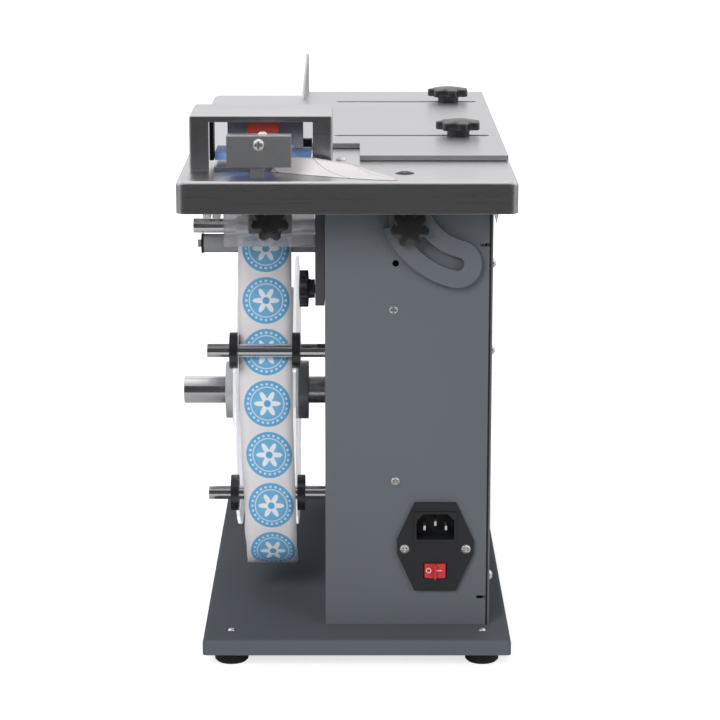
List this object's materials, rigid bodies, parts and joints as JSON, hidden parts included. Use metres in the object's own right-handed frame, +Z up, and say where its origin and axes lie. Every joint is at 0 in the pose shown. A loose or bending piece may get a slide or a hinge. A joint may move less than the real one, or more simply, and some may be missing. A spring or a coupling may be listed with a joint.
{
  "type": "corner labeling machine",
  "caption": "Desktop corner labeler: tilting stainless worktable with sliding guide plate and label press, on a grey cabinet with a label reel, guide rods, feed rollers and a mains inlet.",
  "frame": {"origin": "on the floor, under the middle of the whole unit", "axes": "+X to the right seen from the front, +Y to the back, +Z up"},
  "size_m": [0.221, 0.45, 0.3575],
  "materials": {
    "painted_grey": "fine textured powder coat",
    "rubber_black": "matte",
    "screw_steel": "zinc plated",
    "dark_steel": "blackened",
    "inlet_black": "moulded",
    "pin_brass": "nickel plated",
    "switch_red": "glossy",
    "zinc_plate": "zinc plated",
    "board_green": "coated",
    "machined_aluminium": "machined",
    "turned_steel": "turned",
    "polished_rod": "polished",
    "knob_black": "moulded",
    "clear_acrylic": "clear",
    "core_board": "paper board",
    "label_paper": "coated paper with round blue labels",
    "brushed_stainless": "brushed",
    "coil_red": "taped winding",
    "pad_blue": "silicone",
    "sensor_black": "moulded",
    "motor_black": "black",
    "roller_grey": "ground rubber"
  },
  "bodies": {
    "base": {"base_plate": "painted_grey", "rubber_feet": "rubber_black", "foot_screws": "screw_steel", "cabinet_shell": "painted_grey", "cover_seal": "rubber_black", "side_cover": "painted_grey", "case_screws": "screw_steel", "inlet_housing": "inlet_black", "inlet_pins": "pin_brass", "power_supply": "zinc_plate", "control_board": "board_green", "board_standoffs": "zinc_plate", "reel_shaft_block": "machined_aluminium", "reel_shaft": "turned_steel", "rod_nuts": "screw_steel", "upper_guide_rod": "polished_rod", "lower_guide_rod": "polished_rod", "label_tape": "label_paper", "hinge_brackets": "zinc_plate", "hinge_rod": "turned_steel", "tilt_stud": "turned_steel"},
    "table": {"hinge_lugs": "zinc_plate", "table_top": "brushed_stainless", "tilt_plate": "painted_grey", "guide_studs": "turned_steel", "flange_bolt": "dark_steel", "head_cover": "brushed_stainless", "head_frame": "machined_aluminium", "press_coil": "coil_red", "label_sensor": "sensor_black", "peel_plate": "brushed_stainless", "clamp_block": "machined_aluminium", "head_screws": "screw_steel", "feed_tape": "label_paper", "liner_end": "label_paper", "head_bracket": "dark_steel", "feed_motor": "motor_black", "guide_hanger": "zinc_plate", "clear_guide": "clear_acrylic"},
    "guide": {"guide_plate": "brushed_stainless", "guide_fence": "brushed_stainless"},
    "reel": {"reel_hub": "turned_steel", "reel_nut": "dark_steel", "reel_disc_left": "clear_acrylic", "reel_disc_right": "clear_acrylic", "roll_core": "core_board", "label_roll": "label_paper"},
    "press": {"press_pad": "pad_blue"},
    "rocker": {"rocker_switch": "switch_red"},
    "feed": {"feed_roller": "roller_grey"},
    "pinch": {"pinch_roller": "polished_rod"},
    "tilt_knob": {"tilt_knob": "knob_black"},
    "guide_knob_rear": {"guide_knob_rear": "knob_black"},
    "guide_knob_front": {"guide_knob_front": "knob_black"},
    "bracket_knob": {"bracket_knob": "knob_black"},
    "clear_knob": {"clear_knob": "knob_black"},
    "collar_upper_left": {"collar_upper_left": "knob_black"},
    "collar_upper_right": {"collar_upper_right": "knob_black"},
    "collar_lower_left": {"collar_lower_left": "knob_black"},
    "collar_lower_right": {"collar_lower_right": "knob_black"}
  },
  "joints": [
    {"name": "table_tilt", "type": "hinge", "parent": "base", "child": "table", "pos_m": [0.0852, 0, 0.3074], "axis": [0, 1, 0], "range_deg": [0, 40]},
    {"name": "tilt_knob_turn", "type": "hinge", "parent": "base", "child": "tilt_knob", "pos_m": [0.04386, -0.19, 0.28724], "axis": [0, 1, 0], "continuous": true},
    {"name": "guide_slide", "type": "slide", "parent": "table", "child": "guide", "axis": [1, 0, 0], "range_m": [-0.008, 0.08]},
    {"name": "guide_knob_rear_turn", "type": "hinge", "parent": "table", "child": "guide_knob_rear", "pos_m": [0.08, 0.152, 0.333], "axis": [0, 0, 1], "continuous": true},
    {"name": "guide_knob_front_turn", "type": "hinge", "parent": "table", "child": "guide_knob_front", "pos_m": [0.08, -0.04, 0.333], "axis": [0, 0, 1], "continuous": true},
    {"name": "press_slide", "type": "slide", "parent": "table", "child": "press", "axis": [0, 0, 1], "range_m": [-0.0022, 0], "stiffness_N_per_m": 150, "springref_m": 0.004},
    {"name": "feed_spin", "type": "hinge", "parent": "table", "child": "feed", "pos_m": [-0.05, -0.115, 0.264], "axis": [1, 0, 0], "continuous": true},
    {"name": "pinch_spin", "type": "hinge", "parent": "table", "child": "pinch", "pos_m": [-0.05, -0.122, 0.277], "axis": [1, 0, 0], "continuous": true},
    {"name": "bracket_knob_turn", "type": "hinge", "parent": "table", "child": "bracket_knob", "pos_m": [-0.022, -0.15, 0.24], "axis": [1, 0, 0], "continuous": true},
    {"name": "clear_knob_turn", "type": "hinge", "parent": "table", "child": "clear_knob", "pos_m": [-0.0458, -0.158, 0.2853], "axis": [0, 1, 0], "continuous": true},
    {"name": "reel_spin", "type": "hinge", "parent": "base", "child": "reel", "pos_m": [-0.05, -0.034, 0.145], "axis": [1, 0, 0], "continuous": true},
    {"name": "collar_upper_left_slide", "type": "slide", "parent": "base", "child": "collar_upper_left", "axis": [1, 0, 0], "range_m": [-0.014, 0]},
    {"name": "collar_upper_right_slide", "type": "slide", "parent": "base", "child": "collar_upper_right", "axis": [1, 0, 0], "range_m": [0, 0.016]},
    {"name": "collar_lower_left_slide", "type": "slide", "parent": "base", "child": "collar_lower_left", "axis": [1, 0, 0], "range_m": [-0.014, 0]},
    {"name": "collar_lower_right_slide", "type": "slide", "parent": "base", "child": "collar_lower_right", "axis": [1, 0, 0], "range_m": [0, 0.013]},
    {"name": "rocker_tilt", "type": "hinge", "parent": "base", "child": "rocker", "pos_m": [0.0618, -0.1786, 0.058], "axis": [0, 0, 1], "range_deg": [-9, 9]}
  ],
  "couplings": [
    {"joint": "pinch_spin", "follows": "feed_spin", "ratio": -0.7985}
  ]
}
